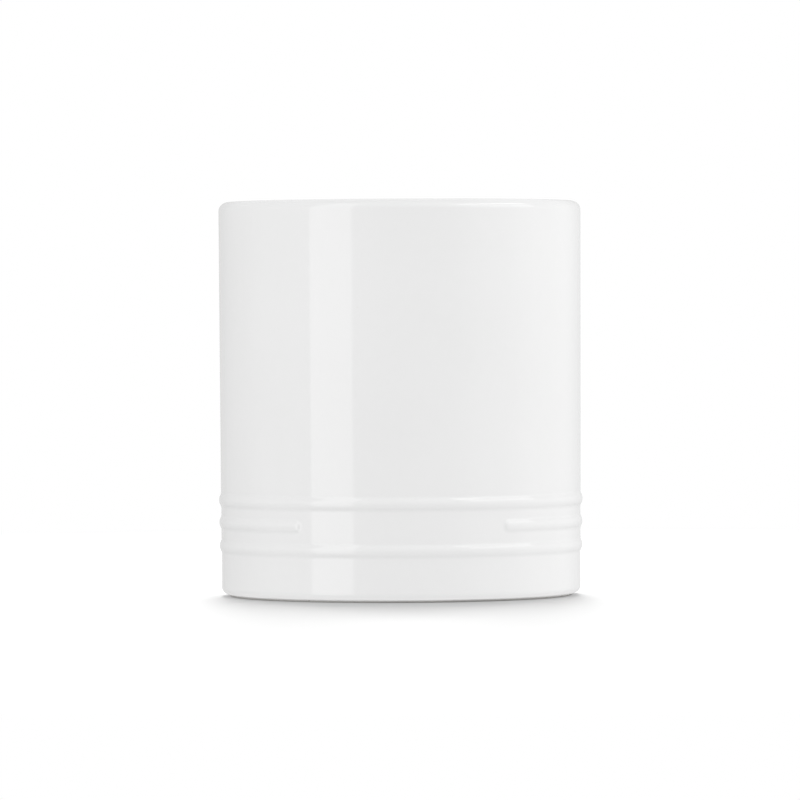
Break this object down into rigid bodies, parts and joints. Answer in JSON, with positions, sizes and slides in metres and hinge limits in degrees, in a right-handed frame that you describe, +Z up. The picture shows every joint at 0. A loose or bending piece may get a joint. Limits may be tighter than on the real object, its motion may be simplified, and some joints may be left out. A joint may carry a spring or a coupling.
{
  "type": "utensil crock",
  "caption": "Round, straight-sided stoneware crock with a rounded lip, raised rings near the foot and an open top that holds cooking utensils on end.",
  "frame": {"origin": "middle of the plane that the foot ring stands on", "axes": "+Z up the crock's axis; -Y is the front, in the middle of the stretch that the middle ring leaves plain"},
  "size_m": [0.1524, 0.1524, 0.165],
  "materials": {
    "white_glaze": "gloss",
    "liner_glaze": "gloss",
    "base_glaze": "gloss",
    "bare_stoneware": "matt"
  },
  "bodies": {
    "root": {"stoneware_body": "white_glaze", "liner_glaze": "liner_glaze", "base_glaze": "base_glaze"}
  },
  "joints": []
}
